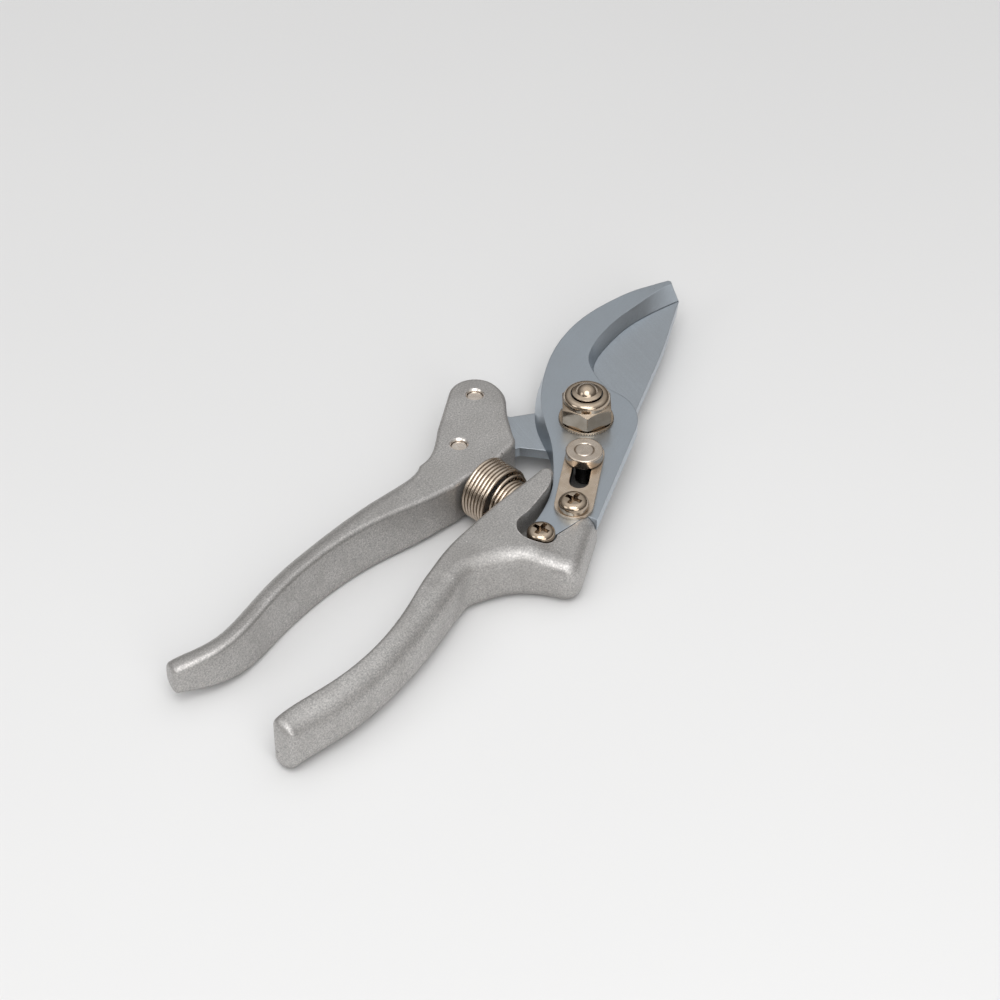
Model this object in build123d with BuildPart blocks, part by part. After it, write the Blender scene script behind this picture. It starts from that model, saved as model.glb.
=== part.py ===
from build123d import *
import os
from math import asin, atan2, cos, degrees, pi, radians, sin, sqrt, tan

os.makedirs("parts", exist_ok=True)

# Bypass pruning shears, closed. Millimetres. The pivot axis is Z, the rest plane is Z = 0,
# the blades point along +X and the blade handle lies on the +Y side.

# Clearances
running_gap = 0.1
pivot_clearance = 0.05
slide_clearance = 0.3
seat_clearance = 0.02
hole_clearance = 0.15
pocket_clearance = 0.12

# Pivot hardware
bolt_diameter = 8.0
bolt_head_flats = 13.0
bolt_head_height = 5.3
bolt_projection = 2.6
bolt_dome_height = 1.8
bolt_dome_diameter = 5.8
bolt_end_step = 0.4
bolt_washer_diameter = 17.0
bolt_washer_thickness = 1.1
bush_diameter = 10.0
lock_washer_diameter = 15.0
lock_washer_thickness = 0.9
lock_washer_teeth = 64
lock_washer_tooth_depth = 0.3
lock_washer_tooth_height = 0.45
lock_washer_notch_share = 0.45
nut_flats = 13.0
nut_height = 8.0
nut_hex_height = 5.6
nut_collar_diameter = 12.6
nut_turn = 34.0
hex_face_inset = 0.2
hex_chamfer_angle = 30.0
insert_diameter = 10.6
insert_height = 1.6
collar_lip = 0.6
collar_round = 1.5
collar_gap = 0.35

# Blades
blade_thickness = 2.9
hook_thickness = 3.5
blade_hub_radius = 11.0
hook_hub_radius = 14.0

# Handles
handle_height = 16.0
grip_crown = 0.3
head_thickness = 13.4
hook_body_height = 15.8
edge_radius = 1.2
end_radius = 1.4
hook_end_radius = 2.0
nose_edge_radius = 4.0
nose_corner_radius = 4.4

# Rivets that hold the tang
rivet_diameter = 4.4
front_rivet_at = (-9.8, 29.8)
rear_rivet_at = (-29.6, 21.4)
head_round_radius = 7.2
tang_round_radius = 4.7
rivet_recess = 0.9
rivet_hole_chamfer = 0.4
rivet_dome = 0.25
tang_slot_clearance = 0.2

# Screws
screw_diameter = 4.0
screw_head_diameter = 7.5
screw_head_height = 2.7
plate_screw_head_diameter = 8.0
plate_screw_head_height = 2.9
screw_depth = 6.0
screw_cross_length = 4.6
screw_cross_width = 1.2
screw_cross_depth = 1.7
screw_cross_core = 2.2
screw_head_round = 1.8
screw_hole_end_gap = 0.5
hook_screw_at = (-46.6, -15.8)
plate_screw_at = (-33.3, -17.2)
hook_tail_radius = 3.8

# Thumb catch
catch_rest_at = (-15.2, -9.0)
catch_forward = 3.1
catch_back = 9.8
lock_plate_width = 10.3
lock_plate_thickness = 1.0
lock_plate_tip_margin = 0.4
lock_plate_tail_margin = 4.2
pin_diameter = 4.6
pin_flange_diameter = 5.8
pin_flange_height = 0.9
pin_head_diameter = 5.0
pin_head_chamfer = 0.25
button_diameter = 10.0
button_height = 2.7
button_gap = 0.2
button_edge_radius = 0.4
cone_washer_diameter = 8.2
cone_washer_thickness = 0.25
cone_washer_rise = 0.3
guide_wall = 0.5
guide_floor = 0.6
hook_slot_ledge = 1.2
catch_reach = 2.5
tooth_release_gap = 0.4
tooth_angle = 11.0
pin_groove_depth = 0.6
tongue_width = 10.0
tongue_thickness = 5.5
tongue_gap = 0.8

# Return spring
spring_wire = 0.7
spring_pitch = 1.12
spring_radius = 8.4
spring_small_radius = 6.2
spring_seat_at = (-34.7, 10.7)
spring_heading = -100.0
spring_lift = 0.8
spring_length = 12.9
spring_end_gap = 0.1
spring_start_angle = 225.0
spring_wide_share = 0.66
spring_step_turns = 0.75
spring_seat_margin = 0.6
spring_peg_gap = 1.6
spring_peg_length = 3.0

# Heights of the stack, from the rest plane up
washer_bottom = bolt_head_height
washer_top = washer_bottom + bolt_washer_thickness
blade_bottom = washer_top + running_gap
blade_top = blade_bottom + blade_thickness
hook_bottom = blade_top + running_gap
hook_top = hook_bottom + hook_thickness
nut_bottom = hook_top + lock_washer_thickness
nut_top = nut_bottom + nut_height
bolt_top = nut_top + bolt_projection
handle_mid = handle_height / 2
head_bottom = handle_mid - head_thickness / 2
head_top = handle_mid + head_thickness / 2
hook_body_bottom = handle_mid - hook_body_height / 2
hook_body_top = handle_mid + hook_body_height / 2
lock_plate_top = hook_top + lock_plate_thickness

# Handle stations from the free end to the head: the inner face's point, then depth, height,
# radius of the back's edges and radius of the inner face's edges
blade_grip_stations = [
    ((-137.6, 31.7), 6.0, 8.2, 3.4, 2.0),
    ((-128.5, 27.0), 6.7, 11.4, 4.7, 1.4),
    ((-118.0, 24.6), 6.7, 14.0, 5.3, edge_radius),
    ((-104.5, 25.2), 6.6, handle_height - grip_crown, 5.3, edge_radius),
    ((-89.5, 25.0), 7.0, handle_height, 5.7, edge_radius),
    ((-76.0, 23.1), 8.0, handle_height - grip_crown, 5.9, edge_radius),
    ((-63.0, 19.2), 9.7, 15.2, 5.0, edge_radius),
    ((-52.0, 15.1), 10.9, 14.0, 3.0, edge_radius),
    ((-44.0, 12.7), 12.8, head_thickness, edge_radius, edge_radius),
]
blade_neck_heading = -7.0
hook_grip_stations = [
    ((-139.1, 0.7), 7.1, 15.4, 4.0, 2.7),
    ((-128.5, -1.5), 8.1, 15.4, 5.8, 1.6),
    ((-118.0, -4.3), 7.7, 15.6, 6.0, edge_radius),
    ((-105.0, -5.4), 7.4, handle_height - grip_crown, 6.0, edge_radius),
    ((-94.5, -4.7), 7.7, handle_height, 6.0, edge_radius),
    ((-84.5, -2.7), 8.5, handle_height - grip_crown, 5.4, edge_radius),
    ((-75.0, -1.0), 8.5, hook_body_height, nose_edge_radius, edge_radius),
]
hook_neck_heading = 10.0


def unit(angle):
    """Direction in plan at an angle in degrees."""
    return Vector(cos(radians(angle)), sin(radians(angle)))


def polar(radius, angle):
    """Point in plan at a radius and an angle in degrees about the pivot."""
    return unit(angle) * radius


def station_planes(stations, side, neck_heading):
    """Planes across a handle, with local x from the inner face to the back. Side is +1 or -1."""
    planes = []
    for index, station in enumerate(stations):
        before = Vector(*stations[max(index - 1, 0)][0])
        after = Vector(*stations[min(index + 1, len(stations) - 1)][0])
        along = (after - before).normalized()
        if index == len(stations) - 1:
            along = unit(neck_heading)
        across = Vector(-along.Y, along.X) * side
        x, y = station[0]
        planes.append(Plane(origin=(x, y, handle_mid), x_dir=across, z_dir=along))
    return planes


def grip_section(plane, station):
    """One D-shaped section of a grip: flat inner face, rounded back."""
    _, depth, height, back_radius, inner_radius = station
    with BuildSketch(plane) as section:
        Rectangle(depth, height, align=(Align.MIN, Align.CENTER))
        fillet(section.vertices().sort_by(Axis.X)[:2], inner_radius)
        fillet(section.vertices().sort_by(Axis.X)[-2:], back_radius)
    return section.sketch


def slot_sketch(height, start, end, radius):
    """Face with two round ends in a level plane."""
    middle = (Vector(*start) + Vector(*end)) / 2
    span = Vector(*end) - Vector(*start)
    turn = degrees(atan2(span.Y, span.X))
    with BuildSketch(Plane.XY.offset(height)) as slot:
        with Locations(Location((middle.X, middle.Y), turn)):
            SlotCenterToCenter(span.length, 2 * radius)
    return slot.sketch


# Catch geometry, shared by the plate, the hook, the handle and the blade
catch_rest = Vector(*catch_rest_at)
plate_screw = Vector(*plate_screw_at)
hook_screw_centre = Vector(*hook_screw_at)
catch_axis = (catch_rest - plate_screw).normalized()
catch_locked = catch_rest + catch_axis * catch_forward
catch_open = catch_rest - catch_axis * catch_back
pin_radius = pin_diameter / 2
plate_slot_radius = pin_radius + slide_clearance
flange_slot_radius = pin_flange_diameter / 2 + slide_clearance
guide_radius = flange_slot_radius + guide_wall
lock_plate_tail = plate_screw + catch_axis * (lock_plate_width / 2 - lock_plate_tail_margin)
lock_plate_tip = catch_locked + catch_axis * (guide_radius + lock_plate_tip_margin - lock_plate_width / 2)
pin_bottom = blade_top - catch_reach

# Tooth on the blade's hub that the pin stops when the catch is forward
tooth_radius = catch_rest.length - pin_radius - tooth_release_gap
locked_angle = degrees(atan2(catch_locked.Y, catch_locked.X)) % 360
tooth_start = locked_angle + degrees(asin((pin_radius + slide_clearance) / catch_locked.length))
tooth_end = tooth_start + tooth_angle

# Spring frame: local z runs from the blade handle to the lug
spring_axis = unit(spring_heading)
spring_origin = Vector(*spring_seat_at, handle_mid + spring_lift)
spring_plane = Plane(origin=spring_origin, x_dir=(0, 0, 1), z_dir=spring_axis)
lug_seat_plane = spring_plane.offset(spring_length)


def wall_rims(part, foot, facing):
    """Level edges of the walls that stand on a height and face between two y values."""
    lowest, highest = facing
    rims = []
    for wall in part.faces():
        normal = wall.normal_at()
        if abs(normal.Z) < seat_clearance and lowest < normal.Y < highest:
            if wall.bounding_box().min.Z < foot + seat_clearance:
                rims += [edge for edge in wall.edges() if edge.bounding_box().size.X > seat_clearance]
    return rims


# Cutting blade: hub, tang in the head and a cutting edge that passes under the hook
spine_angle = -72.4
tang_edge_angle = 204.2
tang_corner = (-16.6, 10.6)
tang_upper = [(-2.0, 15.0), (-7.3, 19.9)]
blade_tip = (63.5, 8.6)
bevel_tip_inset = (3.0, 1.0)
spine_tip_heading = 198.0
spine_points = [(53.6, 5.1), (43.3, 1.4), (33.3, -1.7), (24.6, -4.2)]
edge_points = [(57.0, 13.2), (49.0, 16.4), (40.0, 17.8), (30.0, 17.2), (22.0, 14.4)]
bevel_points = [(54.5, 8.4), (47.5, 10.2), (39.5, 11.2), (30.5, 10.8), (22.5, 9.6)]
heel_point = (15.0, 10.4)
throat_point = (5.5, 12.2)


def tang_lines(front, rear):
    """Edge of the tang from the hub, round both rivets and back to the throat."""
    back = (rear - front).normalized()
    up = Vector(back.Y, -back.X) * tang_round_radius
    Line(polar(blade_hub_radius, tang_edge_angle), tang_corner)
    Line(tang_corner, rear - up)
    ThreePointArc(rear - up, rear + back * tang_round_radius, rear + up)
    Line(rear + up, front + up)
    ThreePointArc(front + up, front - back * tang_round_radius, front - up)
    Line(front - up, tang_upper[1])
    Line(tang_upper[1], tang_upper[0])


def blade_outline(height, edge, tip):
    """Plan of the blade at a height, with its cutting edge or the inner line of its bevel."""
    spine_start = polar(blade_hub_radius, spine_angle)
    tooth_foot = polar(blade_hub_radius, tooth_end)
    hub_middle = polar(blade_hub_radius, (spine_angle + tooth_end - 360) / 2)
    with BuildSketch(Plane.XY.offset(height)) as plan:
        with BuildLine():
            Spline(
                [tip, *spine_points, spine_start],
                tangents=(unit(spine_tip_heading), unit(spine_angle - 90)),
            )
            ThreePointArc(spine_start, hub_middle, tooth_foot)
            Line(tooth_foot, polar(tooth_radius, tooth_end))
            ThreePointArc(
                polar(tooth_radius, tooth_end),
                polar(tooth_radius, (tooth_start + tooth_end) / 2),
                polar(tooth_radius, tooth_start),
            )
            Line(polar(tooth_radius, tooth_start), polar(blade_hub_radius, tooth_start))
            ThreePointArc(
                polar(blade_hub_radius, tooth_start),
                polar(blade_hub_radius, (tooth_start + tang_edge_angle) / 2),
                polar(blade_hub_radius, tang_edge_angle),
            )
            tang_lines(Vector(*front_rivet_at), Vector(*rear_rivet_at))
            Spline([tang_upper[0], throat_point, heel_point])
            Spline([heel_point, *reversed(edge), tip])
        make_face()
    return plan.sketch


with BuildPart() as cutting_blade:
    add(blade_outline(blade_bottom, bevel_points, Vector(*blade_tip) - Vector(*bevel_tip_inset)))
    add(blade_outline(blade_top, edge_points, Vector(*blade_tip)))
    loft(ruled=True)
    with Locations((0, 0, blade_top)):
        Hole(bush_diameter / 2 + pivot_clearance)
    with Locations((*front_rivet_at, blade_top), (*rear_rivet_at, blade_top)):
        Hole(rivet_diameter / 2 + seat_clearance)
cutting_blade.part.label = "cutting_blade"
export_step(cutting_blade.part, "parts/cutting_blade.step")

# Hook blade: curved counter blade, bevelled along its inner edge and along its outer edge at the pivot
hook_outer_low = [
    (-30.0, -8.3), (-20.0, -2.1), (-13.9, 3.9), (-8.6, 10.1), (-1.8, 15.4),
    (6.7, 19.8), (16.8, 23.0), (31.8, 25.1), (45.0, 23.5), (55.5, 20.0),
]
hook_outer_top = [
    (-30.0, -8.3), (-20.2, -2.5), (-13.6, 2.5), (-7.4, 8.5), (-0.9, 14.0),
    (8.3, 19.2), (16.8, 22.6), (31.8, 25.1), (45.0, 23.5), (55.5, 20.0),
]
hook_tip = (66.0, 13.9)
hook_tip_low = [(66.0, 12.4), (63.3, 8.6)]
hook_tip_top = [(66.1, 13.0), (65.2, 12.2)]
hook_edge_low = [
    (58.8, 10.4), (50.9, 13.0), (43.0, 14.5), (35.1, 14.6), (29.9, 14.2),
    (23.3, 12.2), (18.6, 7.8), (15.0, 2.0),
]
hook_edge_top = [
    (60.0, 13.9), (50.3, 15.5), (43.0, 16.5), (35.0, 16.6), (29.7, 16.0),
    (22.4, 13.4), (17.6, 8.2), (14.4, 2.2),
]
hook_tip_heading = -31.0
hook_edge_heading = 154.0
hook_throat_angle = -36.0
hook_belly_angle = -73.4
seam_corner = (-33.3, -24.5)
seam_notch = (-33.4, -21.45)
tail_top_angle = 95.0
tail_seam_angle = -50.0


def tail_point(angle, radius):
    """Point about the hook screw."""
    return hook_screw_centre + unit(angle) * radius


def hook_outline(height, outer, edge, tip):
    """Plan of the hook at a height, with the lines of its outer and inner edge there."""
    tail_start = tail_point(tail_top_angle, hook_tail_radius)
    tail_end = tail_point(tail_seam_angle, hook_tail_radius)
    tail_middle = tail_point((tail_seam_angle + tail_top_angle) / 2 + 180, hook_tail_radius)
    throat = polar(hook_hub_radius, hook_throat_angle)
    belly = polar(hook_hub_radius, hook_belly_angle)
    with BuildSketch(Plane.XY.offset(height)) as plan:
        with BuildLine():
            Spline(
                [tail_start, *outer, hook_tip],
                tangents=(unit(tail_top_angle - 90), unit(hook_tip_heading)),
            )
            Polyline(hook_tip, *tip)
            Spline(
                [tip[-1], *edge, throat],
                tangents=(unit(hook_edge_heading), unit(hook_throat_angle - 90)),
            )
            ThreePointArc(throat, polar(hook_hub_radius, (hook_throat_angle + hook_belly_angle) / 2), belly)
            Polyline(belly, seam_corner, seam_notch, tail_end)
            ThreePointArc(tail_end, tail_middle, tail_start)
        make_face()
    return plan.sketch


with BuildPart() as hook_blade:
    add(hook_outline(hook_bottom, hook_outer_low, hook_edge_low, hook_tip_low))
    add(hook_outline(hook_top, hook_outer_top, hook_edge_top, hook_tip_top))
    loft(ruled=True)
    with Locations((0, 0, hook_top)):
        Hole(bush_diameter / 2 + seat_clearance)
    with Locations((*hook_screw_at, hook_top), (*plate_screw_at, hook_top)):
        Hole(screw_diameter / 2 + hole_clearance)
    add(slot_sketch(hook_bottom, catch_open, catch_locked, pin_radius + slide_clearance))
    extrude(amount=hook_thickness, mode=Mode.SUBTRACT)
    add(slot_sketch(hook_bottom + hook_slot_ledge, catch_open, catch_locked, guide_radius + seat_clearance))
    extrude(amount=hook_thickness, mode=Mode.SUBTRACT)
hook_blade.part.label = "hook_blade"
export_step(hook_blade.part, "parts/hook_blade.step")

# Blade handle: D-shaped grip that runs into a flat head, slotted for the tang
blade_planes = station_planes(blade_grip_stations, 1, blade_neck_heading)
neck_lead = 0.8
head_inner_points = [(-34.5, 10.2), (-25.5, 9.3)]
head_corner = [(-21.8, 9.3), (-18.8, 10.8)]
head_corner_heading = 2.0
head_side_points = [(-14.9, 14.8), (-10.8, 18.6), (-5.9, 22.4)]
head_side_angle = -15.0
head_back_angle = 113.6
head_back_run = 15.0

with BuildPart() as blade_head:
    neck = blade_planes[-1]
    neck_inner = Vector(neck.origin.X, neck.origin.Y)
    neck_back = neck_inner + Vector(neck.x_dir.X, neck.x_dir.Y) * blade_grip_stations[-1][1]
    lead = unit(blade_neck_heading) * neck_lead
    front_centre = Vector(*front_rivet_at)
    round_start = front_centre + unit(head_side_angle) * head_round_radius
    round_middle = front_centre + unit((head_side_angle + head_back_angle) / 2) * head_round_radius
    round_end = front_centre + unit(head_back_angle) * head_round_radius
    back_end = round_end + unit(head_back_angle + 90) * head_back_run
    with BuildSketch(Plane.XY.offset(head_bottom)):
        with BuildLine():
            Line(neck_inner, neck_inner + lead)
            inner_edge = Spline(
                [neck_inner + lead, *head_inner_points, head_corner[0]],
                tangents=(unit(blade_neck_heading), unit(head_corner_heading)),
            )
            corner_arc = TangentArc(head_corner[0], head_corner[1], tangent=inner_edge % 1)
            Spline(
                [head_corner[1], *head_side_points, round_start],
                tangents=(corner_arc % 1, unit(head_side_angle + 90)),
            )
            ThreePointArc(round_start, round_middle, round_end)
            Line(round_end, back_end)
            Spline(
                [back_end, neck_back + lead],
                tangents=(unit(head_back_angle + 90), unit(blade_neck_heading + 180)),
            )
            Line(neck_back + lead, neck_back)
            Line(neck_back, neck_inner)
        make_face()
    extrude(amount=head_thickness)
    rims = blade_head.edges().filter_by_position(Axis.Z, head_bottom, head_bottom)
    rims += blade_head.edges().filter_by_position(Axis.Z, head_top, head_top)
    neck_middle = (neck_inner + neck_back) / 2
    rims = [rim for rim in rims if (Vector(rim.center().X, rim.center().Y) - neck_middle).length > neck_lead]
    fillet(rims, edge_radius)

with BuildPart() as blade_handle:
    for plane, station in zip(blade_planes, blade_grip_stations):
        add(grip_section(plane, station))
    loft()
    fillet(blade_handle.faces().sort_by(Axis.X)[0].edges(), end_radius)
    add(blade_head.part)
    # Flat seat and peg for the spring
    with BuildSketch(spring_plane):
        Circle(spring_radius + spring_wire / 2 + spring_seat_margin)
    extrude(amount=spring_length / 2, mode=Mode.SUBTRACT)
    with BuildSketch(spring_plane):
        Circle(spring_radius - spring_wire / 2 - spring_peg_gap)
    extrude(amount=spring_peg_length)
    # Slot for the tang
    with BuildSketch(Plane.XY.offset(blade_bottom - seat_clearance)):
        with BuildLine():
            tang_lines(front_centre, Vector(*rear_rivet_at))
            Line(tang_upper[0], polar(blade_hub_radius, tang_edge_angle))
        make_face()
        offset(amount=tang_slot_clearance)
    extrude(amount=blade_thickness + 2 * seat_clearance, mode=Mode.SUBTRACT)
    rivet_hole = rivet_diameter / 2 + seat_clearance
    for rivet_at in (front_rivet_at, rear_rivet_at):
        with Locations((*rivet_at, head_top), Location((*rivet_at, head_bottom), (180, 0, 0))):
            CounterSinkHole(rivet_hole, rivet_hole + rivet_hole_chamfer)
blade_handle.part.label = "blade_handle"
export_step(blade_handle.part, "parts/blade_handle.step")

# Hook handle: grip, then a body with a scooped nose, a spring lug and a pocket for the hook's tail
hook_planes = station_planes(hook_grip_stations, -1, hook_neck_heading)
lug_inner_points = [(-64.5, 0.2), (-54.5, -0.1), (-44.5, -0.7), (-34.5, -2.0)]
lug_tip = [(-27.0, -2.9), (-25.2, -4.5), (-27.2, -6.4)]
lug_inner_heading = -7.0
lug_outer_heading = 210.0
lug_outer_points = [(-31.0, -8.3), (-36.0, -9.0), (-44.5, -9.3)]
nose_edge_start = (-31.5, -23.5)
nose_edge_end = (-48.2, -29.65)
scoop_heading = 106.0
scoop_points = [(-55.9, -21.3), (-60.4, -14.8), (-66.5, -10.6)]
dip_origin = (-44.5, -21.5)
dip_heading = 135.0
dip_length = 12.0
dip_lug_limit = 10.6
pocket_centre_at = (-46.5, -14.5)
pocket_radius = 5.25
pocket_slot_angle = 130.0
pocket_seam_angle = -61.0
pocket_mouth = [(-28.0, -27.0), (-18.0, -20.0), (-20.0, -7.0)]
nose_side = (-1.1, -0.3)
lug_side = (-0.1, 1.1)

# Soft step by which the nose dips to the level of the hook's top, clear of the lug
with BuildPart() as nose_dip:
    dip_plane = Plane(origin=(*dip_origin, hook_top), x_dir=unit(dip_heading), z_dir=unit(dip_heading - 90))
    dip_rise = hook_body_top - hook_top
    dip_half = (dip_length / 2, dip_rise / 2)
    with BuildSketch(dip_plane):
        with BuildLine():
            Line((-handle_height, 0), (0, 0))
            dip_low = TangentArc((0, 0), dip_half, tangent=(1, 0))
            TangentArc(dip_half, (dip_length, dip_rise), tangent=dip_low % 1)
            Polyline(
                (dip_length, dip_rise),
                (dip_length, handle_height),
                (-handle_height, handle_height),
                (-handle_height, 0),
            )
        make_face()
    extrude(amount=2 * handle_height, both=True)
    split(bisect_by=Plane.XZ.offset(dip_lug_limit), keep=Keep.TOP)

with BuildPart() as hook_body:
    neck = hook_planes[-1]
    neck_inner = Vector(neck.origin.X, neck.origin.Y)
    neck_back = neck_inner + Vector(neck.x_dir.X, neck.x_dir.Y) * hook_grip_stations[-1][1]
    lead = unit(hook_neck_heading) * neck_lead
    nose_edge = (Vector(*nose_edge_end) - Vector(*nose_edge_start)).normalized()
    nose_heading = degrees(atan2(nose_edge.Y, nose_edge.X)) % 360
    nose_centre = Vector(*nose_edge_end) + unit(nose_heading - 90) * nose_corner_radius
    nose_round_end = nose_centre + unit(scoop_heading + 90) * nose_corner_radius
    nose_round_middle = nose_centre + unit((nose_heading + scoop_heading) / 2 + 90) * nose_corner_radius
    with BuildSketch(Plane.XY.offset(hook_body_bottom)):
        with BuildLine():
            Line(neck_inner, neck_inner + lead)
            Spline(
                [neck_inner + lead, *lug_inner_points, lug_tip[0]],
                tangents=(unit(hook_neck_heading), unit(lug_inner_heading)),
            )
            ThreePointArc(*lug_tip)
            Line(lug_tip[-1], nose_edge_start)
            Line(nose_edge_start, nose_edge_end)
            ThreePointArc(nose_edge_end, nose_round_middle, nose_round_end)
            Spline(
                [nose_round_end, *scoop_points, neck_back + lead],
                tangents=(unit(scoop_heading), unit(hook_neck_heading + 180)),
            )
            Line(neck_back + lead, neck_back)
            Line(neck_back, neck_inner)
        make_face()
    extrude(amount=hook_body_height)
    add(nose_dip.part, mode=Mode.SUBTRACT)
    fillet(wall_rims(hook_body, hook_body_bottom, nose_side), nose_edge_radius)
    fillet(wall_rims(hook_body, hook_body_bottom + edge_radius, lug_side), edge_radius)

with BuildPart() as hook_handle:
    for plane, station in zip(hook_planes, hook_grip_stations):
        add(grip_section(plane, station))
    loft()
    fillet(hook_handle.faces().sort_by(Axis.X)[0].edges(), hook_end_radius)
    add(hook_body.part)
    # Tongue under the hook with a groove for the catch pin, ending clear of the blade's tooth
    with BuildSketch(Plane.XY.offset(hook_bottom - tongue_thickness)):
        with Locations(Location((plate_screw.X, plate_screw.Y), degrees(atan2(catch_axis.Y, catch_axis.X)))):
            Rectangle(plate_screw.length, tongue_width, align=(Align.MIN, Align.CENTER))
        Circle(tooth_radius + tongue_gap, mode=Mode.SUBTRACT)
    extrude(amount=tongue_thickness)
    groove_end = catch_rest + catch_axis * tooth_radius
    add(slot_sketch(pin_bottom - pin_groove_depth, catch_open, groove_end, pin_radius + slide_clearance))
    extrude(amount=hook_bottom - pin_bottom + pin_groove_depth, mode=Mode.SUBTRACT)
    # Pocket for the hook's tail, open beside the lug and towards the pivot
    with BuildSketch(Plane.XY.offset(hook_bottom)):
        with BuildLine():
            pocket_centre = Vector(*pocket_centre_at)
            pocket_middle_angle = (pocket_slot_angle + pocket_seam_angle + 360) / 2
            slot_end = pocket_centre + unit(pocket_slot_angle) * pocket_radius
            seam_end = pocket_centre + unit(pocket_seam_angle) * pocket_radius
            round_middle = pocket_centre + unit(pocket_middle_angle) * pocket_radius
            Spline(
                [lug_tip[-1], *lug_outer_points, slot_end],
                tangents=(unit(lug_outer_heading), unit(pocket_slot_angle + 90)),
            )
            ThreePointArc(slot_end, round_middle, seam_end)
            notch = Vector(*seam_notch)
            seam = (notch - tail_point(tail_seam_angle, hook_tail_radius)).normalized()
            nose_end = (Vector(*seam_corner) - notch).normalized()
            pocket_notch = notch + (nose_end - seam) * pocket_clearance
            past_nose = pocket_notch + nose_end * handle_height
            Polyline(seam_end, pocket_notch, past_nose, *pocket_mouth, lug_tip[-1])
        make_face()
    extrude(amount=handle_height, mode=Mode.SUBTRACT)
    with Locations((*hook_screw_at, hook_bottom), (*plate_screw_at, hook_bottom)):
        Hole(screw_diameter / 2 + seat_clearance, depth=screw_depth)
    # Flat seat and peg for the spring
    with BuildSketch(lug_seat_plane):
        Circle(spring_small_radius + spring_wire / 2 + spring_seat_margin)
    extrude(amount=-spring_length / 2, mode=Mode.SUBTRACT)
    with BuildSketch(lug_seat_plane):
        Circle(spring_small_radius - spring_wire / 2 - spring_peg_gap)
    extrude(amount=-spring_peg_length)
hook_handle.part.label = "hook_handle"
export_step(hook_handle.part, "parts/hook_handle.step")

# Pivot: bolt, flat washer, bush, toothed washer, nut and its nylon ring
dome_radius = (bolt_dome_diameter**2 / 4 + bolt_dome_height**2) / (2 * bolt_dome_height)


def hexagon_block(bottom, height, flats):
    """Hexagon prism whose corners are turned off at both ends."""
    radius = flats / 2 / cos(pi / 6)
    face_radius = flats / 2 - hex_face_inset
    rise = (radius - face_radius) * tan(radians(hex_chamfer_angle))
    top = bottom + height
    with BuildPart() as block:
        with BuildSketch(Plane.XY.offset(bottom)):
            RegularPolygon(radius, 6, rotation=nut_turn)
        extrude(amount=height)
        with BuildSketch(Plane.XZ):
            with BuildLine():
                Polyline((0, bottom), (face_radius, bottom), (radius, bottom + rise))
                Polyline((radius, bottom + rise), (radius, top - rise), (face_radius, top), (0, top))
                Line((0, top), (0, bottom))
            make_face()
        revolve(axis=Axis.Z, mode=Mode.INTERSECT)
    return block.part


with BuildPart() as pivot_bolt:
    add(hexagon_block(0, bolt_head_height, bolt_head_flats))
    shank_foot = bolt_head_height / 2
    shoulder = bolt_top - bolt_dome_height
    thread_end = shoulder - bolt_end_step
    with BuildSketch(Plane.XZ):
        with BuildLine():
            Polyline((0, shank_foot), (bolt_diameter / 2, shank_foot), (bolt_diameter / 2, thread_end))
            Line((bolt_diameter / 2, thread_end), (bolt_dome_diameter / 2, shoulder))
            RadiusArc((bolt_dome_diameter / 2, shoulder), (0, bolt_top), -dome_radius)
            Line((0, bolt_top), (0, shank_foot))
        make_face()
    revolve(axis=Axis.Z)
pivot_bolt.part.label = "pivot_bolt"
export_step(pivot_bolt.part, "parts/pivot_bolt.step")

with BuildPart() as bolt_washer:
    with BuildSketch(Plane.XY.offset(washer_bottom)):
        Circle(bolt_washer_diameter / 2)
        Circle(bolt_diameter / 2 + hole_clearance, mode=Mode.SUBTRACT)
    extrude(amount=bolt_washer_thickness)
bolt_washer.part.label = "bolt_washer"
export_step(bolt_washer.part, "parts/bolt_washer.step")

with BuildPart() as pivot_bush:
    with BuildSketch(Plane.XY.offset(washer_top)):
        Circle(bush_diameter / 2)
        Circle(bolt_diameter / 2 + seat_clearance, mode=Mode.SUBTRACT)
    extrude(amount=hook_top - washer_top)
pivot_bush.part.label = "pivot_bush"
export_step(pivot_bush.part, "parts/pivot_bush.step")

with BuildPart() as lock_washer:
    notch_width = pi * lock_washer_diameter / lock_washer_teeth * lock_washer_notch_share
    with BuildSketch(Plane.XY.offset(hook_top)):
        Circle(lock_washer_diameter / 2)
        Circle(bolt_diameter / 2 + hole_clearance, mode=Mode.SUBTRACT)
        with PolarLocations(lock_washer_diameter / 2, lock_washer_teeth):
            Rectangle(2 * lock_washer_tooth_depth, notch_width, mode=Mode.SUBTRACT)
    extrude(amount=lock_washer_tooth_height)
    with BuildSketch(Plane.XY.offset(hook_top)):
        Circle(lock_washer_diameter / 2 - lock_washer_tooth_depth / 2)
        Circle(bolt_diameter / 2 + hole_clearance, mode=Mode.SUBTRACT)
    extrude(amount=lock_washer_thickness)
lock_washer.part.label = "lock_washer"
export_step(lock_washer.part, "parts/lock_washer.step")

insert_top = nut_top - collar_lip
insert_bottom = insert_top - insert_height

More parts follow.
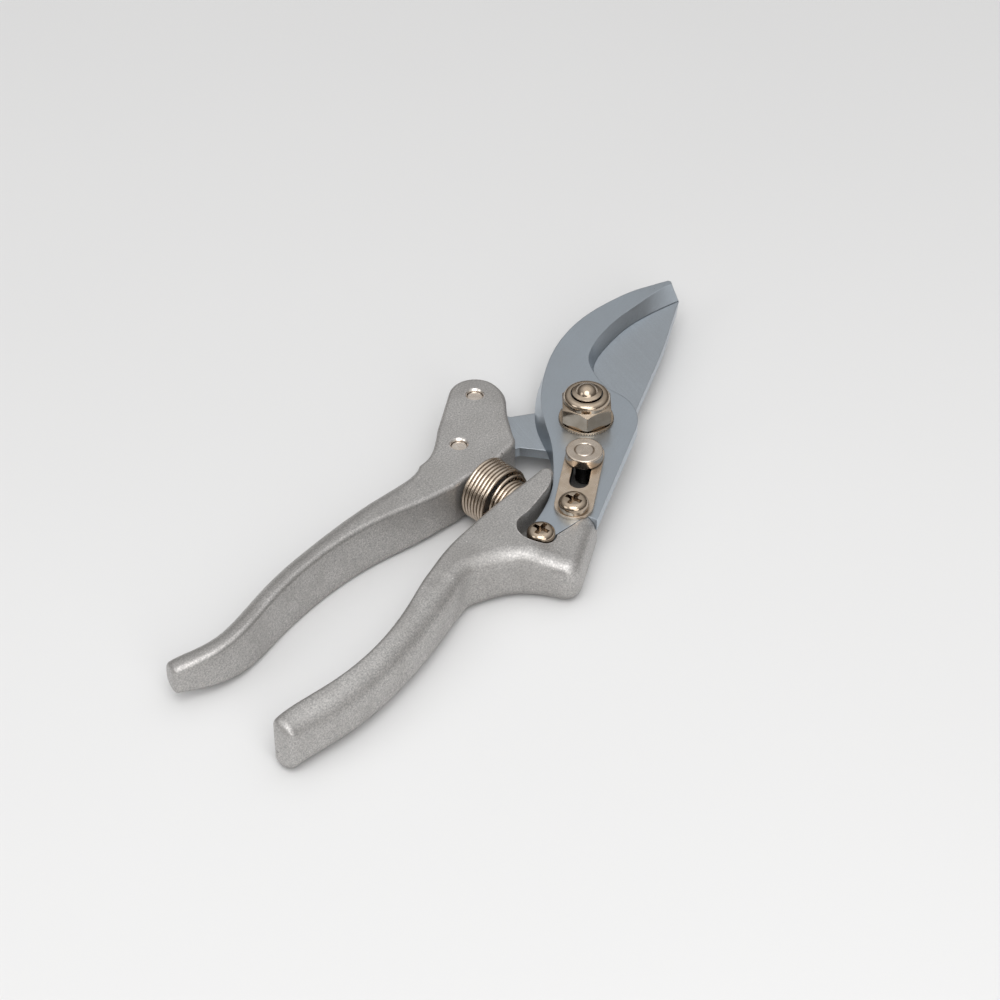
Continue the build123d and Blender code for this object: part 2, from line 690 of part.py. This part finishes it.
with BuildPart() as pivot_nut:
    add(hexagon_block(nut_bottom, nut_hex_height, nut_flats))
    with BuildSketch(Plane.XY.offset(nut_bottom + nut_hex_height / 2)):
        Circle(nut_collar_diameter / 2)
    extrude(amount=nut_height - nut_hex_height / 2)
    fillet(pivot_nut.faces().sort_by(Axis.Z)[-1].edges(), collar_round)
    with BuildSketch(Plane.XY.offset(nut_bottom)):
        Circle(bolt_diameter / 2 + seat_clearance)
    extrude(amount=nut_height, mode=Mode.SUBTRACT)
    with BuildSketch(Plane.XY.offset(insert_bottom)):
        Circle(insert_diameter / 2 + seat_clearance)
    extrude(amount=insert_height + seat_clearance, mode=Mode.SUBTRACT)
    with BuildSketch(Plane.XY.offset(insert_top)):
        Circle(bolt_diameter / 2 + collar_gap)
    extrude(amount=collar_lip, mode=Mode.SUBTRACT)
pivot_nut.part.label = "pivot_nut"
export_step(pivot_nut.part, "parts/pivot_nut.step")

with BuildPart() as nut_insert:
    with BuildSketch(Plane.XY.offset(insert_bottom)):
        Circle(insert_diameter / 2)
        Circle(bolt_diameter / 2 + seat_clearance, mode=Mode.SUBTRACT)
    extrude(amount=insert_height)
nut_insert.part.label = "nut_insert"
export_step(nut_insert.part, "parts/nut_insert.step")

# Rivets through the head and the tang, sunk a little below both faces


def rivet_solid(place):
    """Plain rivet with rounded ends."""
    with BuildPart() as rivet:
        with BuildSketch(Plane.XY.offset(head_bottom + rivet_recess)):
            with Locations(place):
                Circle(rivet_diameter / 2)
        extrude(amount=head_thickness - 2 * rivet_recess)
        fillet(rivet.edges().filter_by(GeomType.CIRCLE), rivet_dome)
    return rivet.part


with BuildPart() as front_rivet:
    add(rivet_solid(front_rivet_at))
front_rivet.part.label = "front_rivet"
export_step(front_rivet.part, "parts/front_rivet.step")

with BuildPart() as rear_rivet:
    add(rivet_solid(rear_rivet_at))
rear_rivet.part.label = "rear_rivet"
export_step(rear_rivet.part, "parts/rear_rivet.step")


def pan_screw(place, seat, thread_end, head_diameter, head_height):
    """Pan head screw with a cross recess, its head on a seat height and its thread down to an end."""
    with BuildPart() as screw:
        with BuildSketch(Plane.XY.offset(thread_end)):
            with Locations(place):
                Circle(screw_diameter / 2)
        extrude(amount=seat - thread_end)
        with BuildSketch(Plane.XY.offset(seat)):
            with Locations(place):
                Circle(head_diameter / 2)
        extrude(amount=head_height)
        fillet(screw.faces().sort_by(Axis.Z)[-1].edges(), screw_head_round)
        with BuildSketch(Plane.XY.offset(seat + head_height - screw_cross_depth)):
            with Locations(place):
                Rectangle(screw_cross_length, screw_cross_width)
                Rectangle(screw_cross_width, screw_cross_length)
                Circle(screw_cross_core / 2)
        extrude(amount=screw_cross_depth, mode=Mode.SUBTRACT)
    return screw.part


screw_end = hook_bottom - screw_depth + screw_hole_end_gap

with BuildPart() as lock_plate_screw:
    add(pan_screw(
        plate_screw_at, lock_plate_top, screw_end, plate_screw_head_diameter, plate_screw_head_height
    ))
lock_plate_screw.part.label = "lock_plate_screw"
export_step(lock_plate_screw.part, "parts/lock_plate_screw.step")

with BuildPart() as hook_screw:
    add(pan_screw(hook_screw_at, hook_top, screw_end, screw_head_diameter, screw_head_height))
hook_screw.part.label = "hook_screw"
export_step(hook_screw.part, "parts/hook_screw.step")

# Thumb catch: slotted plate, guide in the hook's slot, button, pin and cone washer
with BuildPart() as lock_plate:
    add(slot_sketch(hook_top, lock_plate_tail, lock_plate_tip, lock_plate_width / 2))
    extrude(amount=lock_plate_thickness)
    add(slot_sketch(hook_top, catch_open, catch_locked, plate_slot_radius))
    extrude(amount=lock_plate_thickness, mode=Mode.SUBTRACT)
    with Locations((*plate_screw_at, lock_plate_top)):
        Hole(screw_diameter / 2 + hole_clearance)
lock_plate.part.label = "lock_plate"
export_step(lock_plate.part, "parts/lock_plate.step")

guide_bottom = hook_bottom + hook_slot_ledge
with BuildPart() as lock_guide:
    add(slot_sketch(guide_bottom, catch_open, catch_locked, guide_radius))
    extrude(amount=hook_top - guide_bottom)
    add(slot_sketch(guide_bottom, catch_open, catch_locked, plate_slot_radius))
    extrude(amount=guide_floor, mode=Mode.SUBTRACT)
    add(slot_sketch(guide_bottom + guide_floor, catch_open, catch_locked, flange_slot_radius))
    extrude(amount=hook_thickness, mode=Mode.SUBTRACT)
lock_guide.part.label = "lock_guide"
export_step(lock_guide.part, "parts/lock_guide.step")

button_bottom = lock_plate_top + button_gap
button_top = button_bottom + button_height
cone_recess_depth = cone_washer_rise + cone_washer_thickness
with BuildPart() as lock_button:
    with BuildSketch(Plane.XY.offset(button_bottom)):
        with Locations(catch_rest_at):
            Circle(button_diameter / 2)
    extrude(amount=button_height)
    fillet(lock_button.faces().sort_by(Axis.Z)[-1].edges(), button_edge_radius)
    with BuildSketch(Plane.XY.offset(button_bottom)):
        with Locations(catch_rest_at):
            Circle(cone_washer_diameter / 2 + slide_clearance)
    extrude(amount=cone_recess_depth, mode=Mode.SUBTRACT)
    with Locations((*catch_rest_at, button_top)):
        CounterSinkHole(pin_head_diameter / 2 + seat_clearance, pin_head_diameter / 2 + pin_head_chamfer)
lock_button.part.label = "lock_button"
export_step(lock_button.part, "parts/lock_button.step")

flange_top = hook_top - running_gap
with BuildPart() as lock_pin:
    with BuildSketch(Plane.XY.offset(pin_bottom)):
        with Locations(catch_rest_at):
            Circle(pin_radius)
    extrude(amount=button_top - pin_bottom)
    with BuildSketch(Plane.XY.offset(button_bottom + cone_recess_depth)):
        with Locations(catch_rest_at):
            Circle(pin_head_diameter / 2)
    extrude(amount=button_height - cone_recess_depth)
    chamfer(lock_pin.faces().sort_by(Axis.Z)[-1].edges(), pin_head_chamfer)
    with BuildSketch(Plane.XY.offset(flange_top - pin_flange_height)):
        with Locations(catch_rest_at):
            Circle(pin_flange_diameter / 2)
    extrude(amount=pin_flange_height)
lock_pin.part.label = "lock_pin"
export_step(lock_pin.part, "parts/lock_pin.step")

with BuildPart() as lock_spring_washer:
    outer = cone_washer_diameter / 2
    inner = pin_radius + hole_clearance
    low = lock_plate_top + running_gap
    high = low + cone_washer_rise
    with BuildSketch(Plane(origin=catch_rest, x_dir=(1, 0, 0), z_dir=(0, -1, 0))):
        with BuildLine():
            Polyline((inner, high), (outer, low), (outer, low + cone_washer_thickness))
            Line((outer, low + cone_washer_thickness), (inner, high + cone_washer_thickness))
            Line((inner, high + cone_washer_thickness), (inner, high))
        make_face()
    revolve(axis=Axis(catch_rest, (0, 0, 1)))
lock_spring_washer.part.label = "lock_spring_washer"
export_step(lock_spring_washer.part, "parts/lock_spring_washer.step")

# Return spring: wide turns on the blade handle, then a step to narrow turns on the lug
quarter = 0.25
spring_room = spring_length - spring_wire - 2 * spring_end_gap
spring_turns = int(spring_room / spring_pitch / quarter) * quarter
spring_rise = spring_room / spring_turns
step_start = spring_wide_share * spring_turns


def spring_point(turn):
    """Centre of the wire after a number of turns, in the spring's own frame."""
    share = min(max((turn - step_start) / spring_step_turns, 0), 1)
    ease = share * share * (3 - 2 * share)
    radius = spring_radius + (spring_small_radius - spring_radius) * ease
    angle = 2 * pi * turn + radians(spring_start_angle)
    height = spring_wire / 2 + spring_end_gap + spring_rise * turn
    return spring_plane.from_local_coords(Vector(radius * cos(angle), radius * sin(angle), height))


def spring_direction(turn):
    """Direction of the wire after a number of turns."""
    small = 0.001
    return (spring_point(turn + small) - spring_point(turn - small)).normalized()


def biarc(start, end, start_way, end_way):
    """Two arcs that join two points with a direction at each."""
    span = end - start
    ways = start_way + end_way
    square = 2 * (start_way.dot(end_way) - 1)
    lead = -2 * span.dot(ways)
    reach = (-lead - sqrt(lead * lead - 4 * square * span.dot(span))) / (2 * square)
    reach = max(reach, (-lead + sqrt(lead * lead - 4 * square * span.dot(span))) / (2 * square))
    first = start + start_way * reach
    second = end - end_way * reach
    middle = (first + second) / 2
    TangentArc(start, middle, tangent=start_way)
    TangentArc(middle, end, tangent=second - first)


with BuildPart() as return_spring:
    with BuildLine() as spring_path:
        for index in range(round(spring_turns / quarter)):
            turn = index * quarter
            ahead = turn + quarter
            biarc(spring_point(turn), spring_point(ahead), spring_direction(turn), spring_direction(ahead))
    with BuildSketch(Plane(origin=spring_path.wire() @ 0, z_dir=spring_path.wire() % 0)):
        Circle(spring_wire / 2)
    sweep(path=spring_path.wire())
return_spring.part.label = "return_spring"
export_step(return_spring.part, "parts/return_spring.step")

# Least gap between the spring's turns, measured on points along the wire
samples_per_turn = 60
sample_count = round(spring_turns * samples_per_turn)
wire_points = [spring_point(index / samples_per_turn) for index in range(sample_count)]
least_gap = min(
    (wire_points[later] - wire_points[earlier]).length - spring_wire
    for earlier in range(sample_count)
    for later in range(earlier + samples_per_turn // 2, sample_count)
)
print(f"return spring: {spring_turns} turns, least gap to itself {least_gap:.3f} mm")
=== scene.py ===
import math

import bpy
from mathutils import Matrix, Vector


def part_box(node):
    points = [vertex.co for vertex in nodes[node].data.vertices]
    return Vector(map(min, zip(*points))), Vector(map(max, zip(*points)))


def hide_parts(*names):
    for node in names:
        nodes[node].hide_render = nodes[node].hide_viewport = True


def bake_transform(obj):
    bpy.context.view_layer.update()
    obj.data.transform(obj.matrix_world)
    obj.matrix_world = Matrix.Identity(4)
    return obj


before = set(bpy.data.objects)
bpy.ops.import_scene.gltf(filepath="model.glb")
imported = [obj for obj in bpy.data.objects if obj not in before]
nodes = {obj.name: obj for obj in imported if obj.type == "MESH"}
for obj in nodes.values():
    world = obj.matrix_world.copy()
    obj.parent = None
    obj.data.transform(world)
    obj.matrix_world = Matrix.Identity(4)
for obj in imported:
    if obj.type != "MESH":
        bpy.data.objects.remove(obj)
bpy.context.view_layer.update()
MM = 0.001

# Rays of the nodes that feel for edges and corners
FEELER_RAYS = 6
# Tone of handling marks on nickel, as a share of the clean plate's tone
MARK_TONE = 0.82


class Shade:
    """One procedural material: a principled shader and short calls that add nodes to it."""

    def __init__(self, name, metallic=0.0):
        self.material = bpy.data.materials.new(name)
        self.material.use_nodes = True
        self.tree = self.material.node_tree
        self.shader = self.tree.nodes["Principled BSDF"]
        self.set("Metallic", metallic)
        self.place = self.add("ShaderNodeTexCoord").outputs["Object"]

    def add(self, kind, **settings):
        """New node of a kind, with its settings."""
        item = self.tree.nodes.new(kind)
        for key, value in settings.items():
            setattr(item, key, value)
        return item

    def feed(self, socket, value):
        """Links an output to a socket, or sets a plain value on it."""
        if isinstance(value, bpy.types.NodeSocket):
            self.tree.links.new(value, socket)
        else:
            socket.default_value = value

    def set(self, name, value):
        """Feeds an input of the principled shader."""
        self.feed(self.shader.inputs[name], value)

    def mapped(self, stretch, turn):
        """Object coordinates turned about Z by some degrees and stretched."""
        mapping = self.add("ShaderNodeMapping", vector_type="TEXTURE")
        self.feed(mapping.inputs["Vector"], self.place)
        mapping.inputs["Rotation"].default_value = (0, 0, math.radians(turn))
        mapping.inputs["Scale"].default_value = stretch
        return mapping.outputs["Vector"]

    def flat_place(self):
        """Object coordinates without their height."""
        flat = self.add("ShaderNodeVectorMath", operation="MULTIPLY")
        self.feed(flat.inputs[0], self.place)
        flat.inputs[1].default_value = (1.0, 1.0, 0.0)
        return flat.outputs["Vector"]

    def height(self):
        """Height in object coordinates."""
        split = self.add("ShaderNodeSeparateXYZ")
        self.feed(split.inputs["Vector"], self.place)
        return split.outputs["Z"]

    def noise(self, size_mm, detail, place=None):
        """Noise whose blotches are about a size in millimetres."""
        item = self.add("ShaderNodeTexNoise")
        self.feed(item.inputs["Vector"], self.place if place is None else place)
        item.inputs["Scale"].default_value = 1 / (size_mm * MM)
        item.inputs["Detail"].default_value = detail
        return item.outputs["Fac"]

    def cells(self, size_mm, output="Distance"):
        """Cells of about a size in millimetres: the distance from their centres, or their colours."""
        item = self.add("ShaderNodeTexVoronoi")
        self.feed(item.inputs["Vector"], self.place)
        item.inputs["Scale"].default_value = 1 / (size_mm * MM)
        return item.outputs[output]

    def remap(self, value, low, high, to_low=0.0, to_high=1.0):
        """Moves a value from one range to another and holds it at the ends."""
        item = self.add("ShaderNodeMapRange", clamp=True)
        self.feed(item.inputs["Value"], value)
        for key, number in (("From Min", low), ("From Max", high), ("To Min", to_low), ("To Max", to_high)):
            item.inputs[key].default_value = number
        return item.outputs["Result"]

    def calc(self, operation, first, second):
        """Sum, product or the like of two values."""
        item = self.add("ShaderNodeMath", operation=operation)
        self.feed(item.inputs[0], first)
        self.feed(item.inputs[1], second)
        return item.outputs[0]

    def mix(self, share, first, second):
        """Colour between two colours."""
        item = self.add("ShaderNodeMix", data_type="RGBA")
        self.feed(item.inputs["Factor"], share)
        self.feed(item.inputs["A"], first)
        self.feed(item.inputs["B"], second)
        return item.outputs["Result"]

    def soft_edges(self, radius_mm):
        """Normal that rounds sharp edges a little, so that they catch the light."""
        item = self.add("ShaderNodeBevel", samples=FEELER_RAYS)
        item.inputs["Radius"].default_value = radius_mm * MM
        return item.outputs["Normal"]

    def edge_mask(self, radius_mm, low, high):
        """Goes to 1 where the surface bends within a radius."""
        facing = self.add("ShaderNodeVectorMath", operation="DOT_PRODUCT")
        self.feed(facing.inputs[0], self.soft_edges(radius_mm))
        self.feed(facing.inputs[1], self.add("ShaderNodeNewGeometry").outputs["Normal"])
        return self.remap(facing.outputs["Value"], 1 - high, 1 - low, 1.0, 0.0)

    def crevice(self, reach_mm, low, high, most):
        """Goes to a share in corners and recesses that other surfaces close in within a reach."""
        item = self.add("ShaderNodeAmbientOcclusion", samples=FEELER_RAYS)
        item.inputs["Distance"].default_value = reach_mm * MM
        return self.remap(item.outputs["AO"], low, high, most, 0.0)

    def near_axis(self, centre, low_mm, high_mm):
        """Goes to 1 within a distance of an upright axis."""
        reach = self.add("ShaderNodeVectorMath", operation="DISTANCE")
        self.feed(reach.inputs[0], self.flat_place())
        reach.inputs[1].default_value = (centre.x, centre.y, 0.0)
        return self.remap(reach.outputs["Value"], low_mm * MM, high_mm * MM, 1.0, 0.0)

    def bump(self, height, depth_mm, strength, below=None):
        """Normal of a relief, over another normal where one is given."""
        item = self.add("ShaderNodeBump")
        item.inputs["Strength"].default_value = strength
        item.inputs["Distance"].default_value = depth_mm * MM
        self.feed(item.inputs["Height"], height)
        if below is not None:
            self.feed(item.inputs["Normal"], below)
        return item.outputs["Normal"]


def grey(value, warm=0.0):
    """Linear grey with a little warmth or, below zero, coolness."""
    return (value * (1 + warm), value, value * (1 - warm), 1.0)


def sparkle_paint(name, metallic, rim_from_mm, rim_to_mm):
    """Silver sparkle paint, clouded, worn on its edges, with painted shade in its corners and with a few
    dark pits.

    About each rivet the metal is bare up to a radius that fades between the two rim sizes.
    """
    s = Shade(name)
    flakes = s.remap(s.noise(0.42, 2.0), 0.32, 0.68)
    glints = s.remap(s.cells(0.24, "Color"), 0.85, 1.0, 0.0, 0.8)
    cloud = s.remap(s.noise(9.0, 3.0), 0.35, 0.65, 0.0, 0.3)
    smudge = s.remap(s.noise(26.0, 4.0), 0.5, 0.68, 0.0, 0.3)
    wear = s.remap(s.noise(2.2, 3.0), 0.5, 0.62, 0.0, 0.7)
    worn = s.calc("MULTIPLY", s.edge_mask(1.0, 0.02, 0.1), wear)
    # Painted shade: darker where other surfaces close in, in corners, between parts and near the floor
    painted_corner_shade = s.crevice(9.0, 0.25, 0.8, most=0.4)
    bare = 0.0
    for rivet in ("front_rivet", "rear_rivet"):
        low, high = (Vector(corner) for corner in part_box(rivet))
        bare = s.calc("MAXIMUM", bare, s.near_axis((low + high) / 2, rim_from_mm, rim_to_mm))
    pit_patches = s.remap(s.noise(14.0, 1.0), 0.52, 0.58)
    pits = s.calc("MULTIPLY", s.remap(s.cells(5.5), 0.035, 0.075, 1.0, 0.0), pit_patches)

    colour = s.mix(flakes, grey(0.35, 0.015), grey(0.59, 0.03))
    colour = s.mix(glints, colour, grey(0.95, 0.03))
    colour = s.mix(cloud, colour, grey(0.3, 0.04))
    colour = s.mix(smudge, colour, grey(0.25, 0.06))
    colour = s.mix(worn, colour, grey(0.85, 0.04))
    colour = s.mix(painted_corner_shade, colour, grey(0.12, 0.1))
    colour = s.mix(bare, colour, grey(0.9, 0.06))
    colour = s.mix(s.calc("MULTIPLY", pits, 0.7), colour, grey(0.09, 0.02))
    s.set("Base Color", colour)
    s.set("Metallic", s.remap(bare, 0.0, 1.0, metallic, 1.0))
    satin = s.remap(flakes, 0.0, 1.0, 0.5, 0.37)
    polish = s.remap(bare, 0.0, 1.0, 1.0, 0.5)
    s.set("Roughness", s.calc("MULTIPLY", satin, polish))
    normal = s.bump(s.noise(0.45, 2.0), 0.03, 0.6)
    normal = s.bump(s.noise(4.0, 1.0), 0.1, 0.15, normal)
    s.set("Normal", s.bump(pits, -0.12, 0.6, normal))
    return s.material


def ground_steel(name, tone, line_turn, bright, cool):
    """Satin blue-grey steel with a fine grain, faint grinding lines one way and a few dark specks."""
    s = Shade(name, metallic=1.0)
    lines = s.noise(1.0, 3.0, s.mapped((14.0, 0.11, 1.0), line_turn))
    grain = s.noise(0.3, 2.0)
    shade = s.remap(s.calc("ADD", lines, grain), 0.7, 1.3)
    cloud = s.remap(s.noise(18.0, 2.0), 0.35, 0.65, 0.0, 0.22)
    speck_patches = s.remap(s.noise(9.0, 1.0), 0.5, 0.56, 0.0, 0.5)
    specks = s.calc("MULTIPLY", s.remap(s.cells(3.2), 0.03, 0.05, 1.0, 0.0), speck_patches)

    colour = s.mix(shade, grey(tone / bright, cool), grey(tone * bright, cool))
    colour = s.mix(cloud, colour, grey(tone * 0.8, cool / 2))
    colour = s.mix(specks, colour, grey(0.08))
    s.set("Base Color", colour)
    s.set("Roughness", s.remap(shade, 0.0, 1.0, 0.3, 0.42))
    s.set("Normal", s.bump(lines, 0.012, 0.4, s.soft_edges(0.25)))
    return s.material


def nickel(name, tone, roughness, mark_mm, warm, corner_shade=0.85):
    """Warm nickel plate with faint handling marks and painted shade in its corners."""
    s = Shade(name, metallic=1.0)
    marks = s.remap(s.noise(mark_mm, 4.0), 0.35, 0.65)
    # Painted shade: darker in corners and recesses, such as the crosses of the screw heads
    painted_shade = s.crevice(1.4, 0.3, 0.75, most=corner_shade)
    plated = s.mix(marks, grey(tone, warm), grey(tone * MARK_TONE, warm + 0.03))
    s.set("Base Color", s.mix(painted_shade, plated, grey(0.06, 0.2)))
    s.set("Roughness", s.remap(marks, 0.0, 1.0, roughness * 0.8, roughness * 1.3))
    s.set("Normal", s.bump(s.noise(mark_mm * 0.4, 2.0), 0.02, 0.12, s.soft_edges(0.2)))
    return s.material


def pin_finish(name, tone, warm, shaded_below, fade_mm):
    """Nickel on the pin's head; below a height in metres the shank is painted near-black as shade inside
    the slot.
    """
    s = Shade(name, metallic=1.0)
    head = s.remap(s.height(), shaded_below, shaded_below + fade_mm * MM)
    marks = s.remap(s.noise(2.0, 4.0), 0.35, 0.65)
    plated = s.mix(marks, grey(tone, warm), grey(tone * MARK_TONE, warm))
    # Painted shade: the shank below the button is near-black
    s.set("Base Color", s.mix(head, grey(0.03), plated))
    s.set("Roughness", s.remap(marks, 0.0, 1.0, 0.22, 0.34))
    s.set("Normal", s.soft_edges(0.15))
    return s.material


def nylon(name, tone):
    """Matte nylon with a fine moulded grain."""
    s = Shade(name)
    grain = s.remap(s.noise(0.4, 2.0), 0.3, 0.7)
    s.set("Base Color", s.mix(grain, grey(tone * 0.85, 0.02), grey(tone * 1.15, 0.02)))
    s.set("Roughness", s.remap(grain, 0.0, 1.0, 0.42, 0.6))
    s.set("Normal", s.bump(grain, 0.02, 0.3))
    return s.material


def pale_floor(name, low_tone, high_tone):
    """Plain matte floor with a very faint clouding."""
    s = Shade(name)
    cloud = s.remap(s.noise(300.0, 2.0), 0.3, 0.7)
    s.set("Base Color", s.mix(cloud, grey(low_tone), grey(high_tone)))
    s.set("Roughness", 0.9)
    s.set("Specular IOR Level", 0.1)
    return s.material


paint = sparkle_paint("handle_paint", metallic=0.68, rim_from_mm=2.4, rim_to_mm=2.55)
hook_steel = ground_steel("hook_steel", tone=0.55, line_turn=8.0, bright=1.06, cool=-0.1)
blade_steel = ground_steel("blade_steel", tone=0.56, line_turn=62.0, bright=1.1, cool=-0.09)
nut_nickel = nickel("nut_nickel", tone=0.43, roughness=0.15, mark_mm=3.0, warm=0.21)
button_nickel = nickel("button_nickel", tone=0.62, roughness=0.24, mark_mm=2.0, warm=0.14)
plate_nickel = nickel("plate_nickel", tone=0.63, roughness=0.3, mark_mm=2.0, warm=0.19)
rivet_nickel = nickel("rivet_nickel", tone=0.8, roughness=0.22, mark_mm=1.5, warm=0.1)
washer_brass = nickel("washer_brass", tone=0.46, roughness=0.26, mark_mm=1.2, warm=0.22)
wire_nickel = nickel("wire_nickel", tone=0.6, roughness=0.2, mark_mm=2.0, warm=0.17, corner_shade=0.4)
button_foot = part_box("lock_button")[0][2]
pin_nickel = pin_finish("pin_nickel", tone=0.62, warm=0.14, shaded_below=button_foot, fade_mm=0.2)
black_nylon = nylon("black_nylon", tone=0.012)
dark_nylon = nylon("dark_nylon", tone=0.05)

node_finish = {
    "hook_handle": paint,
    "blade_handle": paint,
    "hook_blade": hook_steel,
    "cutting_blade": blade_steel,
    "pivot_bolt": nut_nickel,
    "pivot_nut": nut_nickel,
    "bolt_washer": washer_brass,
    "pivot_bush": washer_brass,
    "lock_washer": washer_brass,
    "nut_insert": dark_nylon,
    "lock_plate": plate_nickel,
    "lock_guide": black_nylon,
    "lock_plate_screw": nut_nickel,
    "hook_screw": nut_nickel,
    "front_rivet": rivet_nickel,
    "rear_rivet": rivet_nickel,
    "lock_button": button_nickel,
    "lock_pin": pin_nickel,
    "lock_spring_washer": washer_brass,
    "return_spring": wire_nickel,
}
for name, finish in node_finish.items():
    node = nodes[name]
    node.data.materials.clear()
    node.data.materials.append(finish)

# Return spring: wide turns on the blade handle, a step, then narrow turns on the lug
seat = Vector((-34.7, 10.7, 8.8)) * MM
heading = math.radians(-100.0)
axis = Vector((math.cos(heading), math.sin(heading), 0.0))
side = Vector((0.0, 0.0, 1.0))
across = axis.cross(side)
length = 12.9 * MM
end_gap = 0.05 * MM
wide = 8.33 * MM
narrow = 6.2 * MM
turns = 10.5
start_angle = math.radians(225.0)
step_at = 0.66 * turns
step_turns = 0.75

# The wire is oval, longer along the spring than outwards
wire_along = 1.04 * MM
wire_out = 0.84 * MM
wire_sides = 12
per_turn = 48
rise = (length - wire_along - 2 * end_gap) / turns

rings = round(turns * per_turn) + 1
spring_points = []
for ring in range(rings):
    turn = ring / per_turn
    share = min(max((turn - step_at) / step_turns, 0.0), 1.0)
    eased = share * share * (3 - 2 * share)
    radius = wide + (narrow - wide) * eased
    angle = start_angle + 2 * math.pi * turn
    outward = side * math.cos(angle) + across * math.sin(angle)
    centre = seat + outward * radius + axis * (wire_along / 2 + end_gap + rise * turn)
    for corner in range(wire_sides):
        round_angle = 2 * math.pi * corner / wire_sides
        out = outward * (math.cos(round_angle) * wire_out / 2)
        spring_points.append(centre + out + axis * (math.sin(round_angle) * wire_along / 2))
spring_faces = [tuple(range(wire_sides))]
for ring in range(rings - 1):
    for corner in range(wire_sides):
        here = ring * wire_sides + corner
        beside = ring * wire_sides + (corner + 1) % wire_sides
        spring_faces.append((here, here + wire_sides, beside + wire_sides, beside))
last = (rings - 1) * wire_sides
spring_faces.append(tuple(last + corner for corner in reversed(range(wire_sides))))
spring_mesh = bpy.data.meshes.new("spring_coil")
spring_mesh.from_pydata(spring_points, [], spring_faces)
spring_mesh.materials.append(wire_nickel)
for polygon in spring_mesh.polygons:
    polygon.use_smooth = len(polygon.vertices) < wire_sides
spring = bpy.data.objects.new("spring_coil", spring_mesh)
bpy.context.scene.collection.objects.link(spring)
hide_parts("return_spring")
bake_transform(spring)

# Floor, a hair below the part
floor_half = 3.0
floor_z = -0.1 * MM
floor_corners = [(-floor_half, -floor_half, floor_z), (floor_half, -floor_half, floor_z)]
floor_corners += [(floor_half, floor_half, floor_z), (-floor_half, floor_half, floor_z)]
floor_mesh = bpy.data.meshes.new("floor")
floor_mesh.from_pydata(floor_corners, [], [(0, 1, 2, 3)])
floor_mesh.materials.append(pale_floor("floor_white", low_tone=0.77, high_tone=0.79))
floor = bpy.data.objects.new("floor", floor_mesh)
bpy.context.scene.collection.objects.link(floor)

# Sky: dark and warm at the horizon, bright overhead
sky_stops = [(0.0, grey(0.08, 0.12)), (0.35, grey(0.21, 0.05)), (0.7, grey(0.6)), (0.95, grey(1.1))]
world = bpy.data.worlds.new("studio")
bpy.context.scene.world = world
world.use_nodes = True
tree = world.node_tree
direction = tree.nodes.new("ShaderNodeTexCoord")
split = tree.nodes.new("ShaderNodeSeparateXYZ")
sky = tree.nodes.new("ShaderNodeValToRGB")
tree.links.new(direction.outputs["Generated"], split.inputs["Vector"])
tree.links.new(split.outputs["Z"], sky.inputs["Fac"])
tree.links.new(sky.outputs["Color"], tree.nodes["Background"].inputs["Color"])
sky.color_ramp.interpolation = "EASE"
while len(sky.color_ramp.elements) < len(sky_stops):
    sky.color_ramp.elements.new(0.5)
for stop, (place, colour) in zip(sky.color_ramp.elements, sky_stops):
    stop.position = place
    stop.color = colour

part_middle = Vector((-0.03, 0.0, 0.0))


def aim(thing, view):
    """Turns a lamp or a camera to look along a direction."""
    thing.rotation_euler = view.to_track_quat("-Z", "Y").to_euler()


def softbox(name, place, size, power):
    """Round soft lamp that looks at the part's middle."""
    light = bpy.data.lights.new(name, "AREA")
    light.shape = "DISK"
    light.size = size
    light.energy = power
    lamp = bpy.data.objects.new(name, light)
    lamp.location = place
    aim(lamp, part_middle - Vector(place))
    bpy.context.scene.collection.objects.link(lamp)


softbox("top_light", place=(-0.5, -0.3, 0.82), size=0.8, power=4.2)
softbox("side_light", place=(-0.9, 0.5, 0.6), size=0.5, power=0.9)
softbox("fill_light", place=(-0.55, -0.75, 0.4), size=0.6, power=1.8)

# Camera at the photo's angle
camera_data = bpy.data.cameras.new("camera")
camera_data.sensor_width = 36.0
camera_data.lens = 96.3
camera_data.clip_start = 0.01
camera = bpy.data.objects.new("camera", camera_data)
camera.location = (-0.47798, -0.29195, 0.47360)
aim(camera, Vector((0.6252, 0.4186, -0.6587)))
bpy.context.scene.collection.objects.link(camera)
bpy.context.scene.camera = camera
bpy.context.scene.view_settings.view_transform = "Standard"
